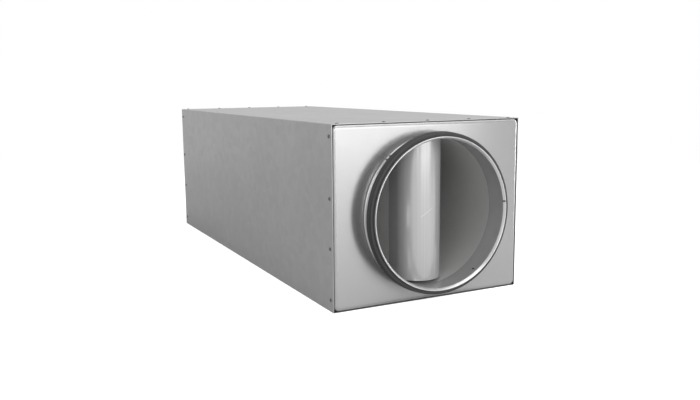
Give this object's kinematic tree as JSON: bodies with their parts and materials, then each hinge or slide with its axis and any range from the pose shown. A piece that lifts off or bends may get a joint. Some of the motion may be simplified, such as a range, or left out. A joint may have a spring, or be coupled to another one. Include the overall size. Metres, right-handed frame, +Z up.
{
  "type": "duct sound attenuator",
  "caption": "Rectangular galvanised duct sound attenuator with round gasketed spigots, a perforated inner tube packed in mineral wool and a baffle along its middle.",
  "frame": {"origin": "middle of the underside, on the plane that the casing stands on", "axes": "+Z up, Y along the air path with the front spigot at -Y, X across the casing"},
  "size_m": [0.3574, 0.965, 0.2962],
  "materials": {
    "galvanised_sheet": "satin zinc coat",
    "perforated_sheet": "satin, perforated",
    "gasket_rubber": "matt",
    "mineral_wool": "fibrous",
    "fastener_steel": "dull"
  },
  "bodies": {
    "root": {"casing_left_top": "galvanised_sheet", "casing_right_bottom": "galvanised_sheet", "front_end_plate": "galvanised_sheet", "rear_end_plate": "galvanised_sheet", "front_spigot": "galvanised_sheet", "rear_spigot": "galvanised_sheet", "baffle_nose_front": "galvanised_sheet", "baffle_nose_rear": "galvanised_sheet", "baffle_channel_top": "galvanised_sheet", "baffle_channel_bottom": "galvanised_sheet", "baffle_spacers": "galvanised_sheet", "perforated_tube": "perforated_sheet", "baffle_facing_left": "perforated_sheet", "baffle_facing_right": "perforated_sheet", "front_gasket": "gasket_rubber", "rear_gasket": "gasket_rubber", "wool_top": "mineral_wool", "wool_bottom": "mineral_wool", "wool_left": "mineral_wool", "wool_right": "mineral_wool", "baffle_core": "mineral_wool", "baffle_screws": "fastener_steel", "front_casing_rivets": "fastener_steel", "rear_casing_rivets": "fastener_steel"}
  },
  "joints": []
}
